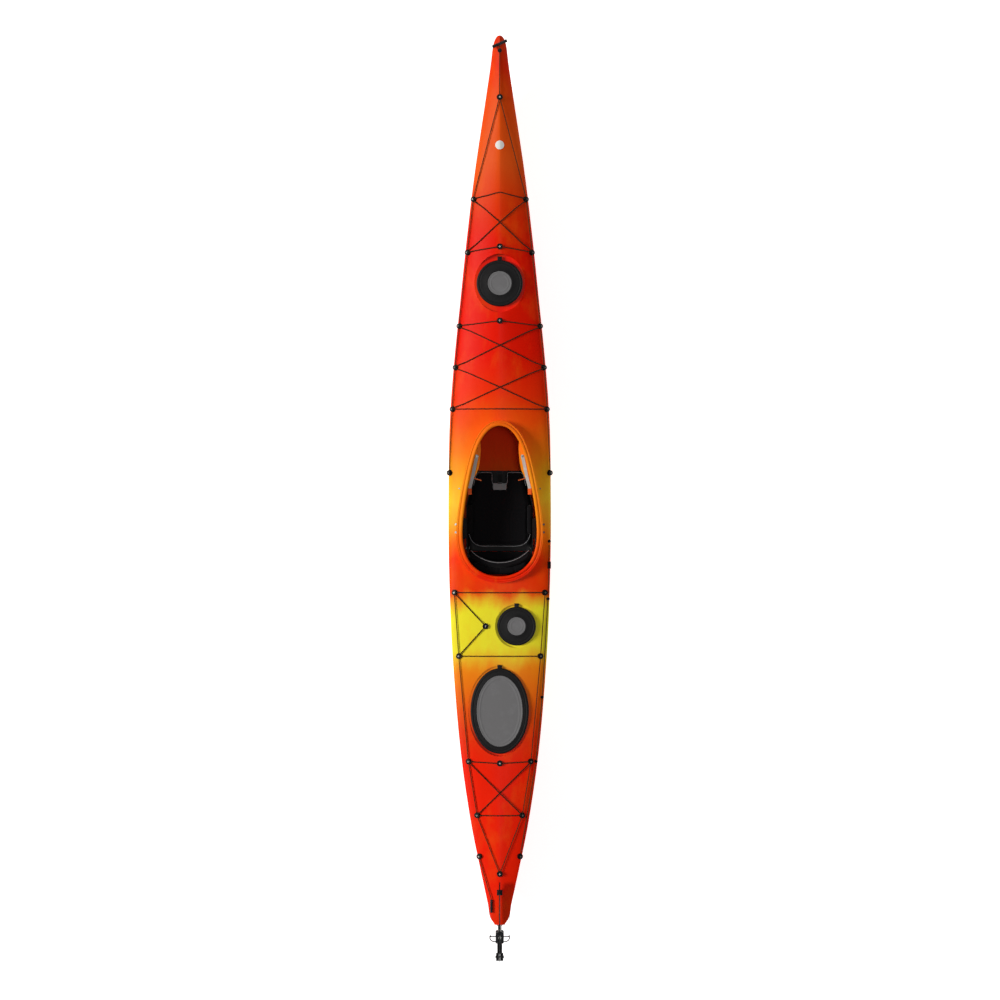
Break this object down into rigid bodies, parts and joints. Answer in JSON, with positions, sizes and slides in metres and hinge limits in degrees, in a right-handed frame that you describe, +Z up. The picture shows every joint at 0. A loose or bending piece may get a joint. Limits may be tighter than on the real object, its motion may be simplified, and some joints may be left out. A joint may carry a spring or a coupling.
{
  "type": "sea kayak",
  "caption": "Touring sea kayak with hollow compartments under rubber hatches, padded cockpit with foot and thigh braces, rigged deck and a flip-over steerable rudder.",
  "frame": {"origin": "centre of the flat keel strip that the boat rests on", "axes": "+X starboard, +Y to the bow, +Z up"},
  "size_m": [0.6056, 5.2336, 0.4344],
  "materials": {
    "hull_plastic": "satin rotomoulded, blended red, orange and yellow",
    "coaming_plastic": "satin rotomoulded",
    "foam": "closed-cell foam",
    "hatch_rubber": "matt",
    "hatch_plate": "matt",
    "rim_plastic": "matt",
    "seat_plastic": "matt",
    "seat_fabric": "woven",
    "tab_fabric": "woven webbing",
    "webbing": "woven webbing",
    "steel": "brushed stainless",
    "fitting_plastic": "moulded nylon",
    "bungee": "braided",
    "deck_line": "braided",
    "brace_plastic": "satin",
    "brace_rubber": "soft",
    "pull_cord": "braided",
    "rudder_plastic": "moulded nylon",
    "blade_alloy": "anodised",
    "cable": "wire rope",
    "sheath": "tube",
    "grip_rubber": "moulded",
    "rail_alloy": "extruded",
    "badge": "gloss"
  },
  "bodies": {
    "hull": {"aft_bungees": "bungee", "bow_bulkhead": "foam", "bow_eye": "fitting_plastic", "cable_sheaths": "sheath", "cockpit_coaming": "coaming_plastic", "deck_badge": "badge", "deck_fittings": "fitting_plastic", "deck_shell": "hull_plastic", "fitting_screws": "steel", "foot_rails": "rail_alloy", "fore_bungees": "bungee", "hatch_rims": "rim_plastic", "hip_pad_port": "seat_fabric", "hip_pad_starboard": "seat_fabric", "hull_shell": "hull_plastic", "leg_lifter_buckle": "steel", "leg_lifter_strap": "webbing", "leg_lifter_tab": "tab_fabric", "line_guides": "fitting_plastic", "middle_bulkhead": "foam", "perimeter_lines": "deck_line", "rudder_bracket": "steel", "rudder_cables": "cable", "rudder_chock": "grip_rubber", "rudder_cleat": "fitting_plastic", "rudder_lift_line": "deck_line", "seat_bolts": "steel", "seat_pad": "seat_fabric", "seat_pan": "seat_plastic", "stern_bulkhead": "foam"},
    "bow_hatch": {"bow_hatch_cover": "hatch_rubber", "bow_hatch_plate": "hatch_plate"},
    "day_hatch": {"day_hatch_cover": "hatch_rubber", "day_hatch_plate": "hatch_plate"},
    "stern_hatch": {"stern_hatch_cover": "hatch_rubber", "stern_hatch_plate": "hatch_plate"},
    "rudder_head": {"rudder_yoke": "rudder_plastic", "rudder_pin": "steel", "flip_bolt": "steel", "steering_arms": "steel"},
    "rudder_blade": {"rudder_blade": "blade_alloy"},
    "back_band": {"back_band_pad": "seat_fabric", "back_band_frame": "seat_plastic", "back_band_pins": "steel"},
    "thigh_brace_starboard": {"thigh_brace_starboard": "brace_plastic", "thigh_tip_starboard": "brace_rubber", "thigh_cord_starboard": "pull_cord"},
    "thigh_brace_port": {"thigh_brace_port": "brace_plastic", "thigh_tip_port": "brace_rubber", "thigh_cord_port": "pull_cord"},
    "foot_slider_starboard": {"foot_slider_starboard": "rail_alloy"},
    "foot_slider_port": {"foot_slider_port": "rail_alloy"},
    "foot_pedal_starboard": {"foot_pedal_starboard": "fitting_plastic"},
    "foot_pedal_port": {"foot_pedal_port": "fitting_plastic"},
    "bow_toggle": {"bow_toggle_grip": "grip_rubber", "bow_toggle_cord": "deck_line"},
    "stern_toggle": {"stern_toggle_grip": "grip_rubber", "stern_toggle_cord": "deck_line"}
  },
  "joints": [
    {"name": "bow_hatch_lift", "type": "slide", "parent": "hull", "child": "bow_hatch", "axis": [0, 0, 1], "range_m": [0, 0.25]},
    {"name": "day_hatch_lift", "type": "slide", "parent": "hull", "child": "day_hatch", "axis": [0, 0, 1], "range_m": [0, 0.25]},
    {"name": "stern_hatch_lift", "type": "slide", "parent": "hull", "child": "stern_hatch", "axis": [0, 0, 1], "range_m": [0, 0.25]},
    {"name": "rudder_steer", "type": "hinge", "parent": "hull", "child": "rudder_head", "pos_m": [0, -2.588, 0.27], "axis": [0, 0, 1], "range_deg": [-35, 35], "deforming": ["rudder_cables"]},
    {"name": "rudder_flip", "type": "hinge", "parent": "rudder_head", "child": "rudder_blade", "pos_m": [0, -2.69, 0.336], "axis": [1, 0, 0], "range_deg": [0, 255]},
    {"name": "foot_steer_starboard", "type": "slide", "parent": "hull", "child": "foot_slider_starboard", "axis": [0, 1, 0], "range_m": [-0.034, 0.034]},
    {"name": "foot_steer_port", "type": "slide", "parent": "hull", "child": "foot_slider_port", "axis": [0, 1, 0], "range_m": [-0.034, 0.034]},
    {"name": "foot_reach_starboard", "type": "slide", "parent": "foot_slider_starboard", "child": "foot_pedal_starboard", "axis": [0, 1, 0], "range_m": [-0.09, 0.09]},
    {"name": "foot_reach_port", "type": "slide", "parent": "foot_slider_port", "child": "foot_pedal_port", "axis": [0, 1, 0], "range_m": [-0.09, 0.09]},
    {"name": "back_band_tilt", "type": "hinge", "parent": "hull", "child": "back_band", "pos_m": [0, -0.38, 0.104], "axis": [1, 0, 0], "range_deg": [-25, 0]},
    {"name": "thigh_brace_turn_starboard", "type": "hinge", "parent": "hull", "child": "thigh_brace_starboard", "pos_m": [0.1295, 0.146, 0.3067], "axis": [0, -0.0618, 0.9981], "range_deg": [-12, 0]},
    {"name": "thigh_brace_turn_port", "type": "hinge", "parent": "hull", "child": "thigh_brace_port", "pos_m": [-0.1295, 0.146, 0.3067], "axis": [0, -0.0618, 0.9981], "range_deg": [0, 12]},
    {"name": "bow_toggle_swing", "type": "hinge", "parent": "hull", "child": "bow_toggle", "pos_m": [0, 2.43, 0.4191], "axis": [1, 0, 0], "range_deg": [0, 150]},
    {"name": "stern_toggle_swing", "type": "hinge", "parent": "hull", "child": "stern_toggle", "pos_m": [-0.115, -2.128, 0.27766], "axis": [-0.3376, -0.029, 0.9409], "range_deg": [-60, 0]}
  ],
  "couplings": [
    {"joint": "foot_steer_starboard", "follows": "rudder_steer", "m_per_rad": 0.054},
    {"joint": "foot_steer_port", "follows": "rudder_steer", "m_per_rad": -0.054}
  ]
}
